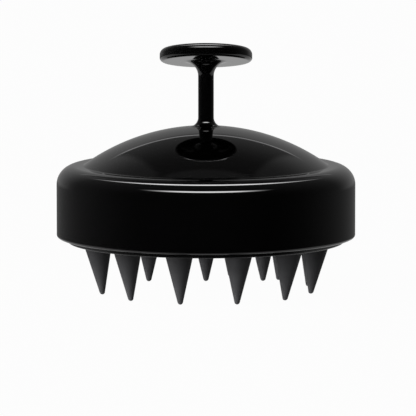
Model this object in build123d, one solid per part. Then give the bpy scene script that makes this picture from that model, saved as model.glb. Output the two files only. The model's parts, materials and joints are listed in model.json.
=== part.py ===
from build123d import *
import os
from math import atan2, asin, cos, hypot, pi, radians, sin, sqrt

# Scalp massager brush. Millimetres and degrees. The Z axis is the axis of the body, z = 0 is the
# plane of the long bristles' tips and -Y is the front. Each piece is written to parts/NODE.step.

# ---- bristles ----
OUTER_COUNT = 12
INNER_COUNT = 6
OUTER_LENGTH = 14.7  # root plane to tip
INNER_LENGTH = 11.95
OUTER_ROOT = 4.1  # radius where a bristle leaves the pad
INNER_ROOT = 3.5
TIP_ROUND = 0.8
OUTER_LEAN = 1.3  # an outer bristle's tip stands this much nearer the axis than its root
RING_SPACING = 16.2  # from the outer circle of bristles in to the inner one
PAD_SIDE_WALL = 0.5  # left of the pad outside the outer bristles' sockets
PAD_TURN = 1.5  # how far the pad is turned in the shell

# ---- upper shell ----
BODY_RADIUS = 44.0
WALL = 1.9
BAND_HEIGHT = 15.5
BAND_EDGE_ROUND = 0.8
SHOULDER_ROUND = 5.55
LEDGE_WIDTH = 2.4  # flat part of the shoulder, out from the crease
CREASE_ROUND = 1.2
DOME_HEIGHT = 11.6  # ledge to apex
SCREW_FLOOR = 2.2  # floor of the handle's socket, which the screw's washer bears on
SOCKET_WALL = 2.0
POST_RADIUS = 3.2
POST_COUNT = 3
SEAL_RIB_WIDTH = 1.6

# ---- handle ----
STEM_RADIUS = 2.3
STEM_LENGTH = 19.0  # dome apex to the middle of the disc's underside
DISC_RADIUS = 13.6
DISC_THICKNESS = 3.85
DISC_TOP_ROUND = 1.8
DISC_BOTTOM_ROUND = 1.15
DISC_TILT = 12.8  # the disc's front rim is the higher one
NECK_ROUND = 4.2
FOOT_ROUND = 2.8
FOOT_MARGIN = 1.0  # foot's rim, outside its rounding
FOOT_DEPTH = 0.9  # how deep that rim is let into the dome
SPIGOT_RADIUS = 3.2
SPIGOT_LENGTH = 10.0  # below the foot

# ---- base ring, pad and backing plate ----
RING_DROP = 1.4  # the lip stands this far below the band
RING_INSET = 3.2  # from the band in to the lip's outside
RING_LIP_WIDTH = 2.7
RING_FLANGE = 2.0
RING_RECESS = 0.3  # the flange sits this far inside the band
HOOK_COUNT = 6
HOOK_WIDTH_ANGLE = 16.0
HOOK_THICKNESS = 1.5
HOOK_BARB = 0.8
HOOK_BARB_HEIGHT = 1.6
HOOK_RISE = 2.2  # flange to barb
PAD_WEB = 2.0
PAD_RIM_WIDTH = 1.4
BOSS_WALL = 1.2
PLATE_THICKNESS = 2.1
PLATE_RIB_HEIGHT = 3.0
PLATE_RIB_WIDTH = 1.5
PLATE_RIB_COUNT = 6
PLATE_RING_RADIUS = 10.0
SEAL_SECTION = 0.6  # radius of the seal ring's own section
SEAL_GROOVE_DEPTH = 1.0
SEAL_MARGIN = 2.6  # from the plate's edge in to the seal

# ---- screws ----
SCREW_RADIUS = 1.25
PILOT_RADIUS = 1.05
HEAD_RADIUS = 2.4
HEAD_HEIGHT = 1.7
HEAD_ROUND = 0.55
POINT_BEVEL = 0.4
DRIVE_WIDTH = 0.6
DRIVE_DEPTH = 0.9
HANDLE_SCREW_GRIP = 12.0  # length in the handle
PLATE_SCREW_GRIP = 7.0  # length in a post
WASHER_RADIUS = 3.5
WASHER_THICKNESS = 0.8

# ---- clearances ----
FIT = 0.2  # between plastic pieces that go into each other
CLOSE_FIT = 0.1  # handle in its socket
SCREW_FIT = 0.2
SEAM = 0.05  # round the handle's foot
SOCKET_GAP = 0.25  # round the ball at each bristle's root
SEAL_FIT = 0.1
PILOT_SPARE = 1.5  # a pilot hole is this much deeper than its screw
CUT = 1.0  # a cutting shape goes this far past the face it opens

# ---- heights, from the bristle tips up ----
root_z = OUTER_LENGTH
plate_z = root_z + max(OUTER_ROOT, INNER_ROOT) + SOCKET_GAP + BOSS_WALL
plate_top_z = plate_z + PLATE_THICKNESS
seal_z = plate_top_z - SEAL_GROOVE_DEPTH + SEAL_SECTION
seal_rib_z = seal_z + SEAL_SECTION
band_bottom_z = root_z + RING_DROP
flange_z = band_bottom_z + RING_RECESS
flange_top_z = flange_z + RING_FLANGE
barb_z = flange_top_z + HOOK_RISE
shoulder_z = band_bottom_z + BAND_HEIGHT
ledge_z = shoulder_z + SHOULDER_ROUND
apex_z = ledge_z + DOME_HEIGHT
underside_z = apex_z + STEM_LENGTH

# ---- radii, from the band in ----
inner_wall = BODY_RADIUS - WALL
shoulder_radius = BODY_RADIUS - SHOULDER_ROUND
crease_radius = shoulder_radius - LEDGE_WIDTH
flange_radius = inner_wall - FIT
hook_outer = flange_radius - FIT
hook_inner = hook_outer - HOOK_THICKNESS
plate_radius = hook_inner - 2 * FIT
lip_outer = BODY_RADIUS - RING_INSET
lip_inner = lip_outer - RING_LIP_WIDTH
pad_radius = lip_inner - FIT
seal_radius = plate_radius - SEAL_MARGIN
outer_ring = pad_radius - PAD_SIDE_WALL - SOCKET_GAP - OUTER_ROOT
inner_ring = outer_ring - RING_SPACING
post_ring = (outer_ring + inner_ring) / 2

# ---- the dome is part of a sphere ----
dome_radius = (crease_radius**2 + DOME_HEIGHT**2) / (2 * DOME_HEIGHT)
dome_z = apex_z - dome_radius
dome_inside = dome_radius - WALL

# ---- handle foot and socket ----
foot_radius = (STEM_RADIUS + FOOT_ROUND) * dome_radius / (dome_radius + FOOT_ROUND) + FOOT_MARGIN
foot_rim_z = dome_z + sqrt(dome_radius**2 - foot_radius**2)
foot_z = foot_rim_z - FOOT_DEPTH
spigot_z = foot_z - SPIGOT_LENGTH
socket_z = spigot_z - FIT
socket_floor_z = socket_z - SCREW_FLOOR
socket_outer = SPIGOT_RADIUS + CLOSE_FIT + SOCKET_WALL
washer_z = socket_floor_z - WASHER_THICKNESS


def at(radius, angle, z=0.0):
    """A point at an angle from the front, -Y, towards +X."""
    turn = radians(angle)
    return Vector(radius * sin(turn), -radius * cos(turn), z)


def solid_of_revolution(*edges):
    """Turns a closed outline in the XZ plane round the Z axis."""
    return revolve(make_face(list(edges)), Axis.Z)


def line(*points):
    return Polyline(*[(r, 0, z) for r, z in points])


def arc(centre, radius, start, end):
    """An arc in the XZ plane about a centre, between two angles in degrees from +X towards +Z."""
    r, z = centre
    points = []
    for angle in (start, (start + end) / 2, end):
        points.append((r + radius * cos(radians(angle)), 0, z + radius * sin(radians(angle))))
    return ThreePointArc(*points)


def tube(outer, inner, low, high):
    """An upright ring between two heights."""
    wall = Pos(0, 0, low) * Cylinder(outer, high - low, align=(Align.CENTER, Align.CENTER, Align.MIN))
    if inner > 0:
        wall -= Pos(0, 0, low - CUT) * Cylinder(
            inner, high - low + 2 * CUT, align=(Align.CENTER, Align.CENTER, Align.MIN)
        )
    return wall


def rod(radius, low, high, place=Vector(0, 0, 0)):
    return Pos(place.X, place.Y, 0) * tube(radius, 0, low, high)


def degrees_of(across, up):
    return atan2(up, across) * 180 / pi


# ---- upper shell ----
def shell_outline_points():
    """Where the crease's rounding meets the dome and the ledge."""
    centre_z = ledge_z + CREASE_ROUND
    reach = dome_radius + CREASE_ROUND
    centre_r = sqrt(reach**2 - (centre_z - dome_z) ** 2)
    return centre_r, centre_z, degrees_of(centre_r, centre_z - dome_z)


def build_shell():
    crease_r, crease_z, crease_angle = shell_outline_points()
    shoulder = (shoulder_radius, shoulder_z)
    edge = (BODY_RADIUS - BAND_EDGE_ROUND, band_bottom_z + BAND_EDGE_ROUND)
    inside_z = ledge_z - WALL
    inside_r = sqrt(dome_inside**2 - (inside_z - dome_z) ** 2)
    shell = solid_of_revolution(
        arc((0, dome_z), dome_radius, 90, crease_angle),
        arc((crease_r, crease_z), CREASE_ROUND, crease_angle + 180, 270),
        line((crease_r, ledge_z), (shoulder_radius, ledge_z)),
        arc(shoulder, SHOULDER_ROUND, 90, 0),
        line((BODY_RADIUS, shoulder_z), (BODY_RADIUS, edge[1])),
        arc(edge, BAND_EDGE_ROUND, 0, -90),
        line((edge[0], band_bottom_z), (inner_wall, band_bottom_z), (inner_wall, shoulder_z)),
        arc(shoulder, SHOULDER_ROUND - WALL, 0, 90),
        line((shoulder_radius, inside_z), (inside_r, inside_z)),
        arc((0, dome_z), dome_inside, degrees_of(inside_r, inside_z - dome_z), 90),
        line((0, dome_z + dome_inside), (0, apex_z)),
    )

    # what hangs inside reaches half-way into the wall
    wall_middle = dome_radius - WALL / 2
    under_dome = Pos(0, 0, dome_z) * Sphere(wall_middle)
    rib_top = ledge_z - WALL / 2
    shell += tube(seal_radius + SEAL_RIB_WIDTH / 2, seal_radius - SEAL_RIB_WIDTH / 2, seal_rib_z, rib_top)
    shell += rod(socket_outer, socket_floor_z, apex_z) & under_dome
    for angle in post_angles():
        shell += rod(POST_RADIUS, plate_top_z, apex_z, at(post_ring, angle)) & under_dome

    # socket for the handle, and its screw's hole
    shell -= rod(foot_radius + SEAM, foot_z, apex_z + CUT)
    shell -= rod(SPIGOT_RADIUS + CLOSE_FIT, socket_z, apex_z + CUT)
    shell -= rod(SCREW_RADIUS + SCREW_FIT, socket_floor_z - CUT, apex_z)

    # groove that the base ring's hooks snap into
    groove = tube(
        hook_outer + HOOK_BARB + FIT, inner_wall - CUT, barb_z - FIT, barb_z + HOOK_BARB_HEIGHT + FIT
    )
    shell -= groove

    pilot_top = plate_top_z + PLATE_SCREW_GRIP + PILOT_SPARE
    for angle in post_angles():
        shell -= rod(PILOT_RADIUS, plate_top_z - CUT, pilot_top, at(post_ring, angle))
    return shell


def post_angles():
    return [360 / POST_COUNT * step for step in range(POST_COUNT)]


# ---- handle ----
def build_disc():
    disc = rod(DISC_RADIUS, 0, DISC_THICKNESS)
    top_rim = disc.edges().filter_by(GeomType.CIRCLE).sort_by(Axis.Z)[-1]
    disc = fillet(top_rim, DISC_TOP_ROUND)
    bottom_rim = disc.edges().filter_by(GeomType.CIRCLE).sort_by(Axis.Z)[0]
    disc = fillet(bottom_rim, DISC_BOTTOM_ROUND)
    return Pos(0, 0, underside_z) * Rot(X=-DISC_TILT) * disc


def build_handle():
    # the foot's rounding is tangent to the stem and to the dome
    round_r = STEM_RADIUS + FOOT_ROUND
    round_z = dome_z + sqrt((dome_radius + FOOT_ROUND) ** 2 - round_r**2)
    towards_dome = degrees_of(round_r, round_z - dome_z)
    stem_top = underside_z + DISC_THICKNESS / 2
    stem = solid_of_revolution(
        line((0, spigot_z), (0, stem_top), (STEM_RADIUS, stem_top), (STEM_RADIUS, round_z)),
        arc((round_r, round_z), FOOT_ROUND, 180, towards_dome + 180),
        arc((0, dome_z), dome_radius, towards_dome, degrees_of(foot_radius, foot_rim_z - dome_z)),
        line(
            (foot_radius, foot_rim_z),
            (foot_radius, foot_z),
            (SPIGOT_RADIUS, foot_z),
            (SPIGOT_RADIUS, spigot_z),
            (0, spigot_z),
        ),
    )
    disc = build_disc()
    handle = stem + disc
    neck = new_edges(stem, disc, combined=handle)
    handle = fillet(neck, NECK_ROUND)
    pilot_top = spigot_z + HANDLE_SCREW_GRIP + PILOT_SPARE
    return handle - rod(PILOT_RADIUS, spigot_z - CUT, pilot_top)


# ---- base ring ----
def sector(outer, inner, low, high, middle, width):
    """Part of an upright ring, so many degrees wide."""
    reach = 2 * outer
    half = width / 2
    wedge = make_face(Polyline((0, 0), at(reach, -half), at(reach, 0), at(reach, half), (0, 0)))
    block = Pos(0, 0, low) * extrude(wedge, high - low)
    return Rot(Z=middle) * (tube(outer, inner, low, high) & block)


def build_base_ring():
    ring = solid_of_revolution(
        line(
            (lip_inner, root_z),
            (lip_outer, root_z),
            (lip_outer, flange_z),
            (flange_radius, flange_z),
            (flange_radius, flange_top_z),
            (lip_inner, flange_top_z),
            (lip_inner, root_z),
        )
    )
    barb_top = barb_z + HOOK_BARB_HEIGHT
    for step in range(HOOK_COUNT):
        middle = 360 / HOOK_COUNT * (step + 0.5)
        ring += sector(hook_outer, hook_inner, flange_top_z, barb_top, middle, HOOK_WIDTH_ANGLE)
        ring += sector(hook_outer + HOOK_BARB, hook_inner, barb_z, barb_top, middle, HOOK_WIDTH_ANGLE)
    return ring


# ---- bristles ----
def bristle_places():
    """Each bristle's name, circle radius, angle from the front, root radius, length and lean."""
    places = []
    for step in range(OUTER_COUNT):
        angle = 360 / OUTER_COUNT * (step + 0.5) + PAD_TURN
        name = f"bristle_outer_{step + 1:02d}"
        places.append((name, outer_ring, angle, OUTER_ROOT, OUTER_LENGTH, OUTER_LEAN))
    for step in range(INNER_COUNT):
        angle = 360 / INNER_COUNT * (step + 0.5) + PAD_TURN
        places.append((f"bristle_inner_{step + 1}", inner_ring, angle, INNER_ROOT, INNER_LENGTH, 0.0))
    places.append(("bristle_centre", 0.0, 0.0, INNER_ROOT, INNER_LENGTH, 0.0))
    return places


def build_bristle(root, length, lean):
    """A cone with a rounded tip below, and a ball above its root that turns in the pad's socket.
    It is made about its root's middle and then leans, so that its tip is at the full length."""
    drop = length - TIP_ROUND
    reach = hypot(drop, lean)
    taper = atan2(root, reach) - asin(TIP_ROUND / hypot(root, reach))
    side = (TIP_ROUND * cos(taper), -reach - TIP_ROUND * sin(taper))
    bristle = solid_of_revolution(
        arc((0, 0), root, 90, 0),
        line((root, 0), side),
        arc((0, -reach), TIP_ROUND, -taper * 180 / pi, -90),
        line((0, -reach - TIP_ROUND), (0, root)),
    )
    return Pos(0, 0, root_z) * Rot(X=degrees_of(drop, lean)) * bristle


# ---- pad ----
def build_pad():
    web_top = root_z + PAD_WEB
    rim_inner = pad_radius - PAD_RIM_WIDTH
    pad = solid_of_revolution(
        line(
            (0, root_z),
            (pad_radius, root_z),
            (pad_radius, flange_top_z),
            (plate_radius, flange_top_z),
            (plate_radius, plate_z),
            (rim_inner, plate_z),
            (rim_inner, web_top),
            (0, web_top),
            (0, root_z),
        )
    )
    for _, ring, angle, root, _, _ in bristle_places():
        boss = root + SOCKET_GAP + BOSS_WALL
        pad += rod(min(boss, pad_radius - ring), root_z, plate_z, at(ring, angle))
    for _, ring, angle, root, _, _ in bristle_places():
        pad -= Pos(at(ring, angle, root_z)) * Sphere(root + SOCKET_GAP)
    return pad


# ---- backing plate and seal ----
def build_plate():
    plate = tube(plate_radius, 0, plate_z, plate_top_z)
    rib_end = seal_radius - SEAL_SECTION - SEAL_MARGIN / 2
    rib_length = rib_end - PLATE_RING_RADIUS
    rib_top = plate_top_z + PLATE_RIB_HEIGHT
    plate += tube(PLATE_RING_RADIUS, PLATE_RING_RADIUS - PLATE_RIB_WIDTH, plate_top_z, rib_top)
    for step in range(PLATE_RIB_COUNT):
        angle = 360 / PLATE_RIB_COUNT * (step + 0.5)
        middle = Pos(rib_length / 2 + PLATE_RING_RADIUS - PLATE_RIB_WIDTH / 2, 0, plate_top_z)
        size = (rib_length, PLATE_RIB_WIDTH, PLATE_RIB_HEIGHT)
        rib = Box(*size, align=(Align.CENTER, Align.CENTER, Align.MIN))
        plate += Rot(Z=angle - 90) * middle * rib
    groove_half = SEAL_SECTION + SEAL_FIT
    plate -= tube(
        seal_radius + groove_half, seal_radius - groove_half, plate_top_z - SEAL_GROOVE_DEPTH, rib_top
    )
    for angle in post_angles():
        plate -= rod(SCREW_RADIUS + SCREW_FIT, plate_z - CUT, rib_top, at(post_ring, angle))
    return plate


def build_seal():
    return Pos(0, 0, seal_z) * Torus(seal_radius, SEAL_SECTION)


# ---- screws ----
def build_screw(bearing_z, grip):
    """A pan-head screw that points up, with a cross recess, its head just below bearing_z."""
    head = rod(HEAD_RADIUS, bearing_z - HEAD_HEIGHT, bearing_z)
    lower_rim = head.edges().filter_by(GeomType.CIRCLE).sort_by(Axis.Z)[0]
    head = fillet(lower_rim, HEAD_ROUND)
    screw = head + rod(SCREW_RADIUS, bearing_z, bearing_z + grip)
    tip = screw.edges().filter_by(GeomType.CIRCLE).sort_by(Axis.Z)[-1]
    screw = chamfer(tip, POINT_BEVEL)
    slot = Box(2 * HEAD_RADIUS - 2 * DRIVE_WIDTH, DRIVE_WIDTH, 2 * DRIVE_DEPTH)
    for turn in (0, 90):
        screw -= Pos(0, 0, bearing_z - HEAD_HEIGHT) * Rot(Z=turn) * slot
    return screw


def build_handle_screw():
    return build_screw(washer_z, WASHER_THICKNESS + SCREW_FLOOR + FIT + HANDLE_SCREW_GRIP)


def build_washer():
    return tube(WASHER_RADIUS, SCREW_RADIUS + SCREW_FIT, washer_z, socket_floor_z)


def build_plate_screws():
    screw = build_screw(plate_z, PLATE_THICKNESS + PLATE_SCREW_GRIP)
    return Compound([Pos(at(post_ring, angle)) * screw for angle in post_angles()])


# ---- write every piece ----
def main():
    os.makedirs("parts", exist_ok=True)
    pieces = {
        "upper_shell": build_shell(),
        "handle": build_handle(),
        "handle_screw": build_handle_screw(),
        "screw_washer": build_washer(),
        "base_ring": build_base_ring(),
        "bristle_pad": build_pad(),
        "backing_plate": build_plate(),
        "seal_ring": build_seal(),
        "plate_screws": build_plate_screws(),
    }
    for name, ring, angle, root, length, lean in bristle_places():
        pieces[name] = Rot(Z=angle) * Pos(at(ring, 0)) * build_bristle(root, length, lean)
    for name, piece in pieces.items():
        export_step(piece, f"parts/{name}.step")


main()
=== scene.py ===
import json
from math import asin, atan2, cos, degrees, hypot, pi, radians, sin, sqrt

import bmesh
import bpy
from mathutils import Matrix, Vector


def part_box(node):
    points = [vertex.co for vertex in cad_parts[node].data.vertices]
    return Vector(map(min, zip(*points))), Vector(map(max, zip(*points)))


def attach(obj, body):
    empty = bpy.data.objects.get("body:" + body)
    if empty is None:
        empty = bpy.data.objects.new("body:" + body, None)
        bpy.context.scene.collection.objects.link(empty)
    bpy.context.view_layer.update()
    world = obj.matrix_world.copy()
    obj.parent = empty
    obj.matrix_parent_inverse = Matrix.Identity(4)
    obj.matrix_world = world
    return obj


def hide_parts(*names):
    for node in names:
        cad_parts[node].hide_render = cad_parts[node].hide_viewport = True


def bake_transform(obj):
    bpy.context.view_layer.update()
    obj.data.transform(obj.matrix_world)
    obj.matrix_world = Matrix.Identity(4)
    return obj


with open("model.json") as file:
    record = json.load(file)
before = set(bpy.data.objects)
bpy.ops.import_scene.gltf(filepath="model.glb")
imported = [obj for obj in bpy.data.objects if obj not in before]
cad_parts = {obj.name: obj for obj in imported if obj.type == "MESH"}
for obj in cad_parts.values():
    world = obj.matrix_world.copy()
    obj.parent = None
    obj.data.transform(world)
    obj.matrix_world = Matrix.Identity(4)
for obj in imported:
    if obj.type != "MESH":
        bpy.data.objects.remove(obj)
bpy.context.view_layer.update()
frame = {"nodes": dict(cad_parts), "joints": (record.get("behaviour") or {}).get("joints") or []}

# Lengths below are in millimetres and become metres in the meshes.
MM = 0.001

# ---- driving sizes, the CAD model's own ----
OUTER_ROOT = 4.1  # radius of a long bristle at the pad
INNER_ROOT = 3.5
TIP_ROUND = 0.8
OUTER_LEAN = 1.3  # a long bristle's tip stands this much nearer the axis than its root
BAND_HEIGHT = 15.5
BAND_EDGE_ROUND = 0.8
SHOULDER_ROUND = 5.55
LEDGE_WIDTH = 2.4
CREASE_ROUND = 1.2
DOME_HEIGHT = 11.6
WALL = 1.9
SOCKET_WALL = 2.0
POST_RADIUS = 3.2
POST_COUNT = 3
SEAL_RIB_WIDTH = 1.6
STEM_RADIUS = 2.3
STEM_LENGTH = 19.0
DISC_RADIUS = 13.6
DISC_THICKNESS = 3.85
DISC_TOP_ROUND = 1.8
DISC_BOTTOM_ROUND = 1.15
DISC_TILT = 12.8
NECK_ROUND = 4.2
FOOT_ROUND = 2.8
FOOT_MARGIN = 1.0
FOOT_DEPTH = 0.9
SPIGOT_RADIUS = 3.2
RING_INSET = 3.2
RING_LIP_WIDTH = 2.7
RING_RECESS = 0.3
RING_FLANGE = 2.0
HOOK_ANGLE = 16.0
HOOK_COUNT = 6
HOOK_THICKNESS = 1.5
HOOK_BARB = 0.6  # less than the CAD's, because the shell's mesh has no groove for it
HOOK_BARB_HEIGHT = 1.6
PAD_WEB = 2.0
PAD_RIM_WIDTH = 1.4
SOCKET_GAP = 0.25
BOSS_WALL = 1.2
PLATE_THICKNESS = 2.1
SCREW_RADIUS = 1.25
HEAD_RADIUS = 2.4
PILOT_RADIUS = 1.05
PILOT_SPARE = 1.5  # a pilot hole is this much deeper than its screw
HANDLE_SCREW_GRIP = 12.0
PLATE_SCREW_GRIP = 7.0
SCREW_FIT = 0.2
FIT = 0.2
CLOSE_FIT = 0.1
SEAM = 0.05

# ---- how many sides a round mesh has ----
BODY_SIDES = 256
PAD_SIDES = 192
HANDLE_SIDES = 160
BRISTLE_SIDES = 64
BOSS_SIDES = 32

# ---- moulding details ----
ROOT_SPREAD = 0.8  # rounding between a bristle and the pad
ROOT_LAP = 0.02  # that rounding ends this far inside the pad
ROOT_DEPTH = 1.0  # the bristle's mesh ends this far inside the pad
ROOT_TAPER = 0.3  # and is this much narrower there
RING_EDGE_ROUND = 0.3
PAD_EDGE_ROUND = 0.35
HOOK_LAP = 0.1  # a hook's or barb's mesh starts this far inside what it stands on
BOSS_LAP = 0.5  # a boss's mesh starts this far inside the pad's web

# ---- picture ----
BACKDROP = 0.982  # brightness of the plain background
FLOOR_GLOW = 1.003  # what the floor gives off by itself
FLOOR_GLOW_SHARE = 0.97
FLOOR_REACH = 6.0  # metres from the middle to the floor's edge
CAMERA_ELEVATION = 6.73
CAMERA_DISTANCE = 1.343  # metres
CAMERA_AIM = (0.0006, 0, 0.02447)  # metres
CAMERA_LENS = 394.2

# ---- studio, as brightness ----
WALL_LIGHT = 0.012
WALL_BEHIND = 0.11  # added on towards the back
WALL_ABOVE = 0.04  # added on towards the top
BACK_LIGHT = 0.17  # added on low at the very back
OPENING_SHADE = 0.55  # how much darker the opening is than the tent round it
LOWER_EDGE_LIGHT = 0.7
UPPER_EDGE_LIGHT = 15.0
STRIP_LIGHT = 17.0
TABLE_LIGHT = 0.6
TABLE_UNDER_LIGHT = 0.26  # right below the brush, in its shade
KEY_LIGHT = 3.4
TABLE_GLOW = 0.16
FILL_LIGHT = 0.035


def node_low(node):
    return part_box(node)[0] / MM


def node_high(node):
    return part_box(node)[1] / MM


# ---- places read from the frame ----
body_radius = node_high("upper_shell").x
band_bottom = node_low("upper_shell").z
root_z = node_low("bristle_pad").z
ring_top = node_high("base_ring").z
spigot_z = node_low("handle").z
plate_z = node_low("backing_plate").z
plate_radius = node_high("backing_plate").x
washer_top = node_high("screw_washer").z
seal_top = node_high("seal_ring").z
seal_radius = node_high("seal_ring").x - (seal_top - node_low("seal_ring").z) / 2

# ---- heights and radii that follow ----
shoulder_z = band_bottom + BAND_HEIGHT
ledge_z = shoulder_z + SHOULDER_ROUND
apex_z = ledge_z + DOME_HEIGHT
underside_z = apex_z + STEM_LENGTH
inner_wall = body_radius - WALL
shoulder_r = body_radius - SHOULDER_ROUND
crease_r = shoulder_r - LEDGE_WIDTH
dome_radius = (crease_r**2 + DOME_HEIGHT**2) / (2 * DOME_HEIGHT)
dome_z = apex_z - dome_radius
foot_radius = (STEM_RADIUS + FOOT_ROUND) * dome_radius / (dome_radius + FOOT_ROUND) + FOOT_MARGIN
foot_rim_z = dome_z + sqrt(dome_radius**2 - foot_radius**2)
foot_z = foot_rim_z - FOOT_DEPTH


# ---- outlines: lists of (radius, height) ----
def arc(centre, radius, start, end, step=3.0):
    """Points on an arc between two angles in degrees, counted from outwards towards up."""
    count = max(4, round(abs(end - start) / step))
    points = []
    for i in range(count + 1):
        angle = radians(start + (end - start) * i / count)
        points.append((centre[0] + radius * cos(angle), centre[1] + radius * sin(angle)))
    return points


def run(start, end, count):
    """Evenly spaced points from start to end."""
    points = []
    for i in range(count + 1):
        t = i / count
        points.append((start[0] + (end[0] - start[0]) * t, start[1] + (end[1] - start[1]) * t))
    return points


def joined(*stretches):
    """One outline, with no point given twice in a row."""
    outline = []
    for stretch in stretches:
        for point in stretch:
            if not outline or hypot(point[0] - outline[-1][0], point[1] - outline[-1][1]) > 1e-4:
                outline.append(point)
    return outline


# ---- meshes ----
def new_piece(name, vertices, faces, sharp=35):
    mesh = bpy.data.meshes.new(name)
    mesh.from_pydata([tuple(c * MM for c in v) for v in vertices], [], faces)
    mesh.validate()
    mesh.shade_smooth()
    mesh.set_sharp_from_angle(angle=radians(sharp))
    piece = bpy.data.objects.new(name, mesh)
    bpy.context.scene.collection.objects.link(piece)
    return piece


def spun(outline, segments, closed=False, centre=(0, 0), place=None):
    """Turns an outline round an upright axis. An outline that ends on the axis closes there;
    a closed outline joins its last point to its first. place(r, z, angle) can bend the result."""
    vertices, rings = [], []
    for r, z in outline:
        if r < 1e-6:
            rings.append([len(vertices)] * segments)
            spot = place(0, z, 0) if place else (0, 0, z)
            vertices.append((spot[0] + centre[0], spot[1] + centre[1], spot[2]))
            continue
        ring = []
        for i in range(segments):
            angle = 2 * pi * i / segments
            spot = place(r, z, angle) if place else (r * cos(angle), r * sin(angle), z)
            ring.append(len(vertices))
            vertices.append((spot[0] + centre[0], spot[1] + centre[1], spot[2]))
        rings.append(ring)
    if closed:
        rings.append(rings[0])
    faces = []
    for low, high in zip(rings, rings[1:]):
        for i in range(segments):
            j = (i + 1) % segments
            corners = [low[i], low[j], high[j], high[i]]
            kept = [c for n, c in enumerate(corners) if c != corners[n - 1]]
            if len(kept) > 2:
                faces.append(tuple(kept))
    return vertices, faces


def added(*parts):
    """Several closed meshes as one."""
    vertices, faces = [], []
    for more_vertices, more_faces in parts:
        offset = len(vertices)
        vertices += more_vertices
        faces += [tuple(c + offset for c in face) for face in more_faces]
    return vertices, faces


def sector(outer, inner, low, high, middle, width, steps=8):
    """Part of an upright ring, so many degrees wide, as a closed mesh."""
    vertices, faces = [], []
    for i in range(steps + 1):
        angle = radians(middle - width / 2 + width * i / steps)
        for r, z in ((outer, low), (outer, high), (inner, high), (inner, low)):
            vertices.append((r * sin(angle), -r * cos(angle), z))
    for i in range(steps):
        a, b = 4 * i, 4 * i + 4
        for k in range(4):
            n = (k + 1) % 4
            faces.append((a + k, b + k, b + n, a + n))
    last = 4 * steps
    faces.append((0, 1, 2, 3))
    faces.append((last + 3, last + 2, last + 1, last))
    return vertices, faces


def outwards(piece):
    """Points every face of a closed mesh outwards."""
    mesh = bmesh.new()
    mesh.from_mesh(piece.data)
    bmesh.ops.recalc_face_normals(mesh, faces=mesh.faces)
    mesh.to_mesh(piece.data)
    mesh.free()
    return piece


# ---- materials ----
def material(name):
    made = bpy.data.materials.new(name)
    made.use_nodes = True
    nodes, links = made.node_tree.nodes, made.node_tree.links
    return made, nodes, links, nodes["Principled BSDF"]


def noise(nodes, links, scale, detail=2.0, stretch=(1, 1, 1)):
    """Noise in the object's own space, in metres."""
    where = nodes.new("ShaderNodeTexCoord")
    mapping = nodes.new("ShaderNodeMapping")
    mapping.inputs["Scale"].default_value = stretch
    texture = nodes.new("ShaderNodeTexNoise")
    texture.inputs["Scale"].default_value = scale
    texture.inputs["Detail"].default_value = detail
    links.new(where.outputs["Object"], mapping.inputs["Vector"])
    links.new(mapping.outputs["Vector"], texture.inputs["Vector"])
    return texture.outputs["Fac"]


def ranged(nodes, links, value, low, high, start=0.3, end=0.7):
    spread = nodes.new("ShaderNodeMapRange")
    spread.inputs["From Min"].default_value = start
    spread.inputs["From Max"].default_value = end
    spread.inputs["To Min"].default_value = low
    spread.inputs["To Max"].default_value = high
    links.new(value, spread.inputs["Value"])
    return spread.outputs["Result"]


def tinted(nodes, links, value, dark, light):
    mix = nodes.new("ShaderNodeMix")
    mix.data_type = "RGBA"
    mix.inputs[6].default_value = (*dark, 1)
    mix.inputs[7].default_value = (*light, 1)
    links.new(value, mix.inputs[0])
    return mix.outputs[2]


def bumped(nodes, links, height, distance, strength=1.0, under=None):
    bump = nodes.new("ShaderNodeBump")
    bump.inputs["Strength"].default_value = strength
    bump.inputs["Distance"].default_value = distance
    links.new(height, bump.inputs["Height"])
    if under:
        links.new(under, bump.inputs["Normal"])
    return bump.outputs["Normal"]


def gloss_plastic(name, dark, light, smooth, rough):
    """Polished injection-moulded ABS: nearly black, with a faint flow in its gloss and skin."""
    made, nodes, links, shader = material(name)
    flow = noise(nodes, links, 55, 3.0)
    grain = noise(nodes, links, 900, 2.0)
    swirl = noise(nodes, links, 160, 4.0, (1, 1, 6))
    colour = tinted(nodes, links, ranged(nodes, links, flow, 0, 1), dark, light)
    links.new(colour, shader.inputs["Base Color"])
    links.new(ranged(nodes, links, swirl, smooth, rough), shader.inputs["Roughness"])
    skin = bumped(nodes, links, flow, 0.00002, 0.5)
    links.new(bumped(nodes, links, grain, 0.0000015, 0.4, skin), shader.inputs["Normal"])
    shader.inputs["IOR"].default_value = 1.5
    return made


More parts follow.
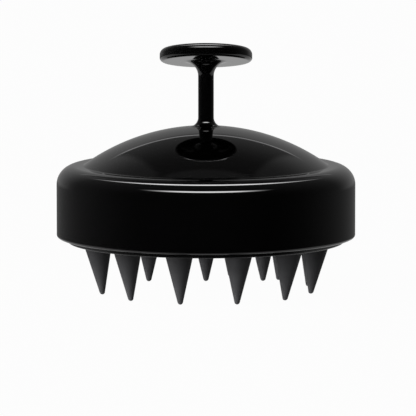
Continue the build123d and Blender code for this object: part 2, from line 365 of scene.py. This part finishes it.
def silicone(name, dark, light, tip=1.0):
    """Matte silicone: a fine moulded grain, soft mottling and a little bloom at grazing angles.
    The tip argument paints a bristle's colour up to that many times lighter towards its tip: painted light
    at the tip and painted shade at the root."""
    made, nodes, links, shader = material(name)
    mottle = noise(nodes, links, 260, 4.0)
    grain = noise(nodes, links, 5200, 3.0)
    pores = noise(nodes, links, 1500, 2.0)
    colour = tinted(nodes, links, ranged(nodes, links, mottle, 0, 1), dark, light)
    # painted light and shade: the colour is scaled up to tip times lighter at the bristle's tip, back to its
    # own tone near the root
    if tip > 1:
        where = nodes.new("ShaderNodeTexCoord")
        split = nodes.new("ShaderNodeSeparateXYZ")
        links.new(where.outputs["Generated"], split.inputs["Vector"])
        painted_tip_light = nodes.new("ShaderNodeVectorMath")
        painted_tip_light.operation = "SCALE"
        links.new(colour, painted_tip_light.inputs[0])
        links.new(ranged(nodes, links, split.outputs["Z"], tip, 1.0, 0.0, 0.9), painted_tip_light.inputs["Scale"])
        colour = painted_tip_light.outputs[0]
    links.new(colour, shader.inputs["Base Color"])
    links.new(ranged(nodes, links, pores, 0.5, 0.62), shader.inputs["Roughness"])
    coarse = bumped(nodes, links, pores, 0.00003, 0.5)
    links.new(bumped(nodes, links, grain, 0.00001, 0.6, coarse), shader.inputs["Normal"])
    shader.inputs["IOR"].default_value = 1.41
    shader.inputs["Specular IOR Level"].default_value = 0.14
    shader.inputs["Sheen Weight"].default_value = 0.015
    shader.inputs["Sheen Roughness"].default_value = 0.4
    return made


def satin_plastic(name, dark, light):
    """Spark-eroded moulded plastic for the hidden plate."""
    made, nodes, links, shader = material(name)
    grain = noise(nodes, links, 3000, 3.0)
    cloud = noise(nodes, links, 120, 2.0)
    colour = tinted(nodes, links, ranged(nodes, links, cloud, 0, 1), dark, light)
    links.new(colour, shader.inputs["Base Color"])
    links.new(ranged(nodes, links, cloud, 0.34, 0.46), shader.inputs["Roughness"])
    links.new(bumped(nodes, links, grain, 0.00001, 0.5), shader.inputs["Normal"])
    return made


def plated_steel(name):
    made, nodes, links, shader = material(name)
    streak = noise(nodes, links, 900, 3.0, (1, 1, 8))
    colour = tinted(nodes, links, ranged(nodes, links, streak, 0, 1), (0.46, 0.46, 0.45), (0.62, 0.61, 0.58))
    links.new(colour, shader.inputs["Base Color"])
    links.new(ranged(nodes, links, streak, 0.2, 0.34), shader.inputs["Roughness"])
    links.new(bumped(nodes, links, streak, 0.00001, 0.4), shader.inputs["Normal"])
    shader.inputs["Metallic"].default_value = 1.0
    return made


SHELL = gloss_plastic("gloss_black_shell", (0.001, 0.001, 0.0011), (0.0016, 0.0016, 0.0017), 0.02, 0.05)
HANDLE = gloss_plastic("gloss_black_handle", (0.001, 0.001, 0.0011), (0.0016, 0.0016, 0.0017), 0.02, 0.05)
RING = gloss_plastic("black_ring", (0.003, 0.003, 0.0032), (0.0042, 0.0042, 0.0045), 0.2, 0.28)
PAD = silicone("grey_silicone_pad", (0.03, 0.03, 0.0315), (0.037, 0.037, 0.039))
# the 2.6 paints the bristles up to 2.6 times lighter at their tips: painted light at the tips, painted shade
# at the roots
BRISTLES = silicone("grey_silicone_bristles", (0.033, 0.033, 0.0345), (0.04, 0.04, 0.042), 2.6)
PLATE = satin_plastic("plate_plastic", (0.02, 0.02, 0.022), (0.03, 0.03, 0.033))
SEAL = silicone("seal_rubber", (0.01, 0.01, 0.01), (0.016, 0.016, 0.016))
STEEL = plated_steel("screw_steel")


def finished(piece, look, body="housing"):
    piece.data.materials.append(look)
    if body:
        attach(piece, body)
    return piece


# ---- upper shell ----
def make_shell():
    reach = dome_radius + CREASE_ROUND
    crease_z = ledge_z + CREASE_ROUND
    crease_at = sqrt(reach**2 - (crease_z - dome_z) ** 2)
    crease_angle = degrees(atan2(crease_z - dome_z, crease_at))
    hole = foot_radius + SEAM
    hole_angle = degrees(asin(sqrt(dome_radius**2 - hole**2) / dome_radius))
    edge = (body_radius - BAND_EDGE_ROUND, band_bottom + BAND_EDGE_ROUND)
    inside = dome_radius - WALL
    inside_z = ledge_z - WALL
    inside_r = sqrt(inside**2 - (inside_z - dome_z) ** 2)
    rib_outer = seal_radius + SEAL_RIB_WIDTH / 2
    rib_inner = seal_radius - SEAL_RIB_WIDTH / 2
    bore = SPIGOT_RADIUS + CLOSE_FIT
    socket_outer = bore + SOCKET_WALL
    socket_top = dome_z + sqrt(inside**2 - socket_outer**2)
    inside_at_rib = dome_z + sqrt(inside**2 - rib_inner**2) if rib_inner < inside_r else inside_z
    floor_hole = SCREW_RADIUS + SCREW_FIT
    outline = joined(
        arc((0, dome_z), dome_radius, hole_angle, crease_angle, 0.6),
        arc((crease_at, crease_z), CREASE_ROUND, crease_angle + 180, 270, 2.5),
        run((crease_at, ledge_z), (shoulder_r, ledge_z), 4),
        arc((shoulder_r, shoulder_z), SHOULDER_ROUND, 90, 0, 1.5),
        run((body_radius, shoulder_z), (body_radius, edge[1]), 12),
        arc(edge, BAND_EDGE_ROUND, 0, -90, 5),
        run((edge[0], band_bottom), (inner_wall, band_bottom), 1),
        run((inner_wall, band_bottom), (inner_wall, shoulder_z), 4),
        arc((shoulder_r, shoulder_z), SHOULDER_ROUND - WALL, 0, 90, 6),
        run((shoulder_r, inside_z), (rib_outer, inside_z), 1),
        [(rib_outer, seal_top), (rib_inner, seal_top), (rib_inner, inside_at_rib)],
        arc(
            (0, dome_z),
            inside,
            degrees(atan2(inside_z - dome_z, inside_r)),
            degrees(atan2(socket_top - dome_z, socket_outer)),
            2,
        ),
        [(socket_outer, washer_top), (floor_hole, washer_top), (floor_hole, spigot_z - FIT)],
        [(bore, spigot_z - FIT), (bore, foot_z), (hole, foot_z)],
    )
    parts = [spun(outline, BODY_SIDES, closed=True)]
    # posts for the plate's screws
    post_r = -node_low("plate_screws").y - HEAD_RADIUS
    post_z = plate_z + PLATE_THICKNESS
    pilot_z = post_z + PLATE_SCREW_GRIP + PILOT_SPARE
    top = dome_z + sqrt((dome_radius - WALL / 2) ** 2 - (post_r + POST_RADIUS) ** 2)
    for step in range(POST_COUNT):
        angle = radians(360 / POST_COUNT * step)
        centre = (post_r * sin(angle), -post_r * cos(angle))
        pilot = [(0, pilot_z), (PILOT_RADIUS, pilot_z), (PILOT_RADIUS, post_z)]
        post = [(POST_RADIUS, post_z), (POST_RADIUS, top), (0, top)]
        parts.append(spun(joined(pilot, post), BOSS_SIDES, centre=centre))
    piece = outwards(new_piece("shell_moulding", *added(*parts)))
    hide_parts("upper_shell")
    return finished(piece, SHELL)


# ---- handle ----
def make_handle():
    round_r = STEM_RADIUS + FOOT_ROUND
    round_z = dome_z + sqrt((dome_radius + FOOT_ROUND) ** 2 - round_r**2)
    towards_dome = degrees(atan2(round_z - dome_z, round_r))
    foot_angle = degrees(atan2(foot_rim_z - dome_z, foot_radius))
    neck_z = underside_z - NECK_ROUND
    top_z = underside_z + DISC_THICKNESS
    top_r = DISC_RADIUS - DISC_TOP_ROUND
    low_r = DISC_RADIUS - DISC_BOTTOM_ROUND
    pilot_z = spigot_z + HANDLE_SCREW_GRIP + PILOT_SPARE
    outline = joined(
        [(0, pilot_z), (PILOT_RADIUS, pilot_z), (PILOT_RADIUS, spigot_z)],
        [(SPIGOT_RADIUS, spigot_z), (SPIGOT_RADIUS, foot_z), (foot_radius, foot_z)],
        arc((0, dome_z), dome_radius, foot_angle, towards_dome, 0.2),
        arc((round_r, round_z), FOOT_ROUND, towards_dome - 180, -180, 3),
        run((STEM_RADIUS, round_z), (STEM_RADIUS, neck_z), 16),
        arc((STEM_RADIUS + NECK_ROUND, neck_z), NECK_ROUND, 180, 90, 3),
        run((STEM_RADIUS + NECK_ROUND, underside_z), (low_r, underside_z), 6),
        arc((low_r, underside_z + DISC_BOTTOM_ROUND), DISC_BOTTOM_ROUND, -90, 0, 5),
        arc((top_r, top_z - DISC_TOP_ROUND), DISC_TOP_ROUND, 0, 90, 5),
        run((top_r, top_z), (0, top_z), 8),
    )

    def leaning(r, z, angle):
        """The disc leans about the middle of its underside, and the neck turns smoothly into it."""
        share = min(1.0, max(0.0, (z - neck_z) / NECK_ROUND))
        if r >= STEM_RADIUS + NECK_ROUND - 0.01 and z >= neck_z:
            share = 1.0
        share = share * share * (3 - 2 * share)
        lean = Matrix.Rotation(radians(-DISC_TILT * share), 3, "X")
        spot = lean @ Vector((r * cos(angle), r * sin(angle), z - underside_z))
        return spot.x, spot.y, spot.z + underside_z

    piece = outwards(new_piece("handle_moulding", *spun(outline, HANDLE_SIDES, place=leaning)))
    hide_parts("handle")
    return finished(piece, HANDLE)


# ---- base ring ----
def make_ring():
    lip_outer = body_radius - RING_INSET
    lip_inner = lip_outer - RING_LIP_WIDTH
    flange_z = band_bottom + RING_RECESS
    flange_top = flange_z + RING_FLANGE
    flange_r = inner_wall - FIT
    soft = RING_EDGE_ROUND
    outline = joined(
        [(lip_inner, root_z + soft)],
        arc((lip_inner + soft, root_z + soft), soft, 180, 270, 15),
        arc((lip_outer - soft, root_z + soft), soft, 270, 360, 15),
        [(lip_outer, flange_z), (flange_r, flange_z), (flange_r, flange_top), (lip_inner, flange_top)],
    )
    parts = [spun(outline, BODY_SIDES, closed=True)]
    hook_outer = flange_r - FIT
    hook_inner = hook_outer - HOOK_THICKNESS
    barb_outer = hook_outer + HOOK_BARB
    barb_z = ring_top - HOOK_BARB_HEIGHT
    for step in range(HOOK_COUNT):
        middle = 360 / HOOK_COUNT * (step + 0.5)
        parts.append(sector(hook_outer, hook_inner, flange_top - HOOK_LAP, ring_top, middle, HOOK_ANGLE))
        parts.append(sector(barb_outer, hook_outer - HOOK_LAP, barb_z, ring_top, middle, HOOK_ANGLE))
    piece = outwards(new_piece("base_ring_moulding", *added(*parts)))
    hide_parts("base_ring")
    return finished(piece, RING)


# ---- pad ----
def make_pad():
    pad_r = body_radius - RING_INSET - RING_LIP_WIDTH - FIT
    flange_top = band_bottom + RING_RECESS + RING_FLANGE
    web_top = root_z + PAD_WEB
    soft = PAD_EDGE_ROUND
    outline = joined(
        run((0, root_z), (pad_r - soft, root_z), 24),
        arc((pad_r - soft, root_z + soft), soft, 270, 360, 15),
        [(pad_r, flange_top), (plate_radius, flange_top), (plate_radius, plate_z)],
        [(pad_r - PAD_RIM_WIDTH, plate_z), (pad_r - PAD_RIM_WIDTH, web_top), (0, web_top)],
    )
    parts = [spun(outline, PAD_SIDES)]
    for name, joint in hinges():
        root = root_radius(name)
        centre = Vector(joint["pos_m"]) / MM
        boss = min(root + SOCKET_GAP + BOSS_WALL, pad_r - hypot(centre.x, centre.y))
        stub = [(0, web_top - BOSS_LAP), (boss, web_top - BOSS_LAP), (boss, plate_z), (0, plate_z)]
        parts.append(spun(stub, BOSS_SIDES, centre=(centre.x, centre.y)))
    piece = outwards(new_piece("pad_moulding", *added(*parts)))
    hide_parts("bristle_pad")
    return finished(piece, PAD)


# ---- bristles ----
def hinges():
    """Each bristle's body with the joint that bends it."""
    return [(joint["child"], joint) for joint in frame["joints"]]


def root_radius(name):
    return OUTER_ROOT if name.startswith("bristle_outer") else INNER_ROOT


def make_bristle(name, joint):
    """A cone with a rounded tip, whose root spreads a little into the pad."""
    root = root_radius(name)
    low = node_low(name).z
    tip_z = low + TIP_ROUND
    reach = root_z - tip_z
    taper = atan2(root, reach) - asin(TIP_ROUND / hypot(root, reach))
    side_slope = (root - TIP_ROUND * cos(taper)) / (reach + TIP_ROUND * sin(taper))
    # the rounding into the pad is tangent to the side and to the pad's face
    spread_z = root_z - ROOT_SPREAD
    spread_r = root - side_slope * ROOT_SPREAD + ROOT_SPREAD / cos(taper)
    touch = (spread_r - ROOT_SPREAD * cos(taper), spread_z + ROOT_SPREAD * sin(taper))
    foot = (TIP_ROUND * cos(taper), tip_z - TIP_ROUND * sin(taper))
    end_z = root_z + ROOT_DEPTH
    outline = joined(
        arc((0, tip_z), TIP_ROUND, -90, -degrees(taper), 9),
        run(foot, touch, 26),
        arc((spread_r, spread_z), ROOT_SPREAD, 180 - degrees(taper), 90, 8),
        [(spread_r, root_z + ROOT_LAP), (spread_r - ROOT_TAPER, end_z), (0, end_z)],
    )
    centre = Vector(joint["pos_m"]) / MM
    across = Vector((centre.x, centre.y, 0))
    lean = OUTER_LEAN if name.startswith("bristle_outer") else 0.0
    inward = -across.normalized() * lean / reach

    def leaning(r, z, angle):
        shift = inward * max(0.0, root_z - z)
        return r * cos(angle) + shift.x, r * sin(angle) + shift.y, z

    mesh = spun(outline, BRISTLE_SIDES, centre=(centre.x, centre.y), place=leaning)
    piece = outwards(new_piece(name + "_silicone", *mesh, sharp=60))
    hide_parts(name)
    finished(piece, BRISTLES, body=None)
    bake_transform(piece)
    return piece


make_shell()
make_handle()
make_ring()
make_pad()
for body, hinge in hinges():
    make_bristle(body, hinge)

for node, look in (
    ("handle_screw", STEEL),
    ("screw_washer", STEEL),
    ("plate_screws", STEEL),
    ("backing_plate", PLATE),
    ("seal_ring", SEAL),
):
    data = frame["nodes"][node].data
    data.materials.clear()
    data.materials.append(look)


# ---- floor ----
def make_floor():
    reach = FLOOR_REACH
    corners = [(-reach, -reach, 0), (reach, -reach, 0), (reach, reach, 0), (-reach, reach, 0)]
    mesh = bpy.data.meshes.new("floor")
    mesh.from_pydata(corners, [], [(0, 1, 2, 3)])
    floor = bpy.data.objects.new("floor", mesh)
    bpy.context.scene.collection.objects.link(floor)
    paint = bpy.data.materials.new("floor")
    paint.use_nodes = True
    nodes, links = paint.node_tree.nodes, paint.node_tree.links
    shader = nodes["Principled BSDF"]
    shader.inputs["Base Color"].default_value = (0.8, 0.8, 0.8, 1)
    shader.inputs["Roughness"].default_value = 1.0
    shader.inputs["Specular IOR Level"].default_value = 0.0
    glow = nodes.new("ShaderNodeEmission")
    glow.inputs["Strength"].default_value = FLOOR_GLOW
    mix = nodes.new("ShaderNodeMixShader")
    mix.inputs["Fac"].default_value = FLOOR_GLOW_SHARE
    links.new(shader.outputs["BSDF"], mix.inputs[1])
    links.new(glow.outputs["Emission"], mix.inputs[2])
    links.new(mix.outputs["Shader"], nodes["Material Output"].inputs["Surface"])
    floor.data.materials.append(paint)
    floor.visible_glossy = False
    floor.visible_diffuse = False


# ---- studio ----
class World:
    """Small sums on the direction a ray leaves in: x right, y back, z up."""

    def __init__(self):
        world = bpy.data.worlds.new("studio")
        bpy.context.scene.world = world
        world.use_nodes = True
        world.cycles.sampling_method = "NONE"
        self.nodes, self.links = world.node_tree.nodes, world.node_tree.links
        where = self.nodes.new("ShaderNodeTexCoord")
        split = self.nodes.new("ShaderNodeSeparateXYZ")
        self.links.new(where.outputs["Generated"], split.inputs["Vector"])
        self.x, self.y, self.z = split.outputs

    def put(self, socket, value):
        if isinstance(value, (int, float)):
            socket.default_value = value
        else:
            self.links.new(value, socket)

    def math(self, kind, *values):
        node = self.nodes.new("ShaderNodeMath")
        node.operation = kind
        for socket, value in zip(node.inputs, values):
            self.put(socket, value)
        return node.outputs[0]

    def add(self, *values):
        total = values[0]
        for value in values[1:]:
            total = self.math("ADD", total, value)
        return total

    def times(self, *values):
        total = values[0]
        for value in values[1:]:
            total = self.math("MULTIPLY", total, value)
        return total

    def over(self, a, b):
        return self.math("DIVIDE", a, b)

    def size(self, a):
        return self.math("ABSOLUTE", a)

    def step(self, value, start, end):
        """0 before start and 1 after end, smoothly; the other way round if end is less."""
        node = self.nodes.new("ShaderNodeMapRange")
        node.interpolation_type = "SMOOTHSTEP"
        low, high = min(start, end), max(start, end)
        for name, number in (("From Min", low), ("From Max", high)):
            node.inputs[name].default_value = number
        node.inputs["To Min"].default_value = 0 if end > start else 1
        node.inputs["To Max"].default_value = 1 if end > start else 0
        self.put(node.inputs["Value"], value)
        return node.outputs[0]

    def along(self, direction):
        unit = Vector(direction).normalized()
        return self.add(self.times(self.x, unit.x), self.times(self.y, unit.y), self.times(self.z, unit.z))

    def mix(self, share, a, b):
        node = self.nodes.new("ShaderNodeMix")
        for socket, value in zip(node.inputs, (share, None, a, b)):
            if value is not None:
                self.put(socket, value)
        return node.outputs[0]


def tent(w):
    """What the gloss reflects: a pale tent that is darkest in front, with an opening high behind
    whose edges shine, a strip lamp over the front, and the bright table below."""
    from_front = w.times(w.step(w.y, -0.7, 1.1), WALL_BEHIND)
    walls = w.add(WALL_LIGHT, from_front, w.times(w.step(w.z, 0.2, 1.0), WALL_ABOVE))
    back = w.times(w.step(w.y, 0.5, 0.92), w.step(w.z, -0.13, 0.0), BACK_LIGHT)
    # the opening, in a flat frame that faces it
    ahead = w.math("MAXIMUM", w.along((0, 0.66, 0.75)), 0.05)
    across = w.over(w.x, ahead)
    upward = w.over(w.along((0, -0.75, 0.66)), ahead)
    edge = w.math("MAXIMUM", w.over(w.size(across), 0.33), w.over(w.size(upward), 0.42))
    opening = w.step(edge, 1.02, 0.86)
    walls = w.times(w.add(walls, back), w.add(1.0, w.times(opening, -OPENING_SHADE)))
    # its lower edge
    off_axis = w.size(w.add(w.along((0, 0.9931, -0.1172)), -0.806))
    lower_edge = w.times(w.step(off_axis, 0.012, 0.004), w.step(w.z, 0.415, 0.445), LOWER_EDGE_LIGHT)
    # its upper edge bends down at its ends
    up = w.math("MAXIMUM", w.z, 0.05)
    p = w.size(w.over(w.x, up))
    q = w.over(w.y, up)
    p2 = w.times(p, p)
    bend = w.size(w.add(q, w.times(p2, -1.07), w.times(p2, p2, -1.14), -0.128))
    upper_edge = w.times(w.step(bend, 0.1, 0.05), w.step(p, 0.8, 0.2), UPPER_EDGE_LIGHT)
    # the strip lamp
    off_strip = w.size(w.add(q, w.times(p2, -0.45), 0.905))
    strip = w.times(w.step(off_strip, 0.18, 0.08), w.step(p, 0.98, 0.3), STRIP_LIGHT)
    lamps = w.times(w.add(upper_edge, strip), w.step(w.z, 0.1, 0.2))
    # the table starts lower down in front, and the brush shades it right below
    below = w.step(w.add(w.z, w.times(w.math("MINIMUM", w.y, 0.0), -0.9)), -0.14, -0.27)
    open_table = w.times(w.step(w.z, -0.99, -0.75), TABLE_LIGHT - TABLE_UNDER_LIGHT)
    table = w.add(TABLE_UNDER_LIGHT, open_table)
    return w.add(w.mix(below, walls, table), lower_edge, lamps)


def soft_light(w):
    """What matte pieces are lit by: a big lamp at the front left, the pale table and a faint fill."""
    key = w.math("POWER", w.math("MAXIMUM", w.along((-0.92, -0.38, -0.1)), 0.0), 4.0)
    table = w.math("POWER", w.math("MAXIMUM", w.times(w.z, -1.0), 0.0), 2.0)
    return w.add(w.times(key, KEY_LIGHT), w.times(table, TABLE_GLOW), FILL_LIGHT)


def make_world():
    w = World()
    ray = w.nodes.new("ShaderNodeLightPath")
    lit = w.mix(ray.outputs["Is Glossy Ray"], soft_light(w), tent(w))
    w.links.new(w.mix(ray.outputs["Is Camera Ray"], lit, BACKDROP), w.nodes["Background"].inputs["Color"])


def make_camera():
    """The photograph's viewpoint: a long lens, a little above the band."""
    elevation = radians(CAMERA_ELEVATION)
    aim = Vector(CAMERA_AIM)
    data = bpy.data.cameras.new("camera")
    data.sensor_width = 36
    data.lens = CAMERA_LENS
    data.clip_end = 100
    camera = bpy.data.objects.new("camera", data)
    camera.location = aim + CAMERA_DISTANCE * Vector((0, -cos(elevation), sin(elevation)))
    camera.rotation_euler = (radians(90) - elevation, 0, 0)
    bpy.context.scene.collection.objects.link(camera)
    bpy.context.scene.camera = camera


make_floor()
make_world()
make_camera()
bpy.context.scene.view_settings.view_transform = "Standard"
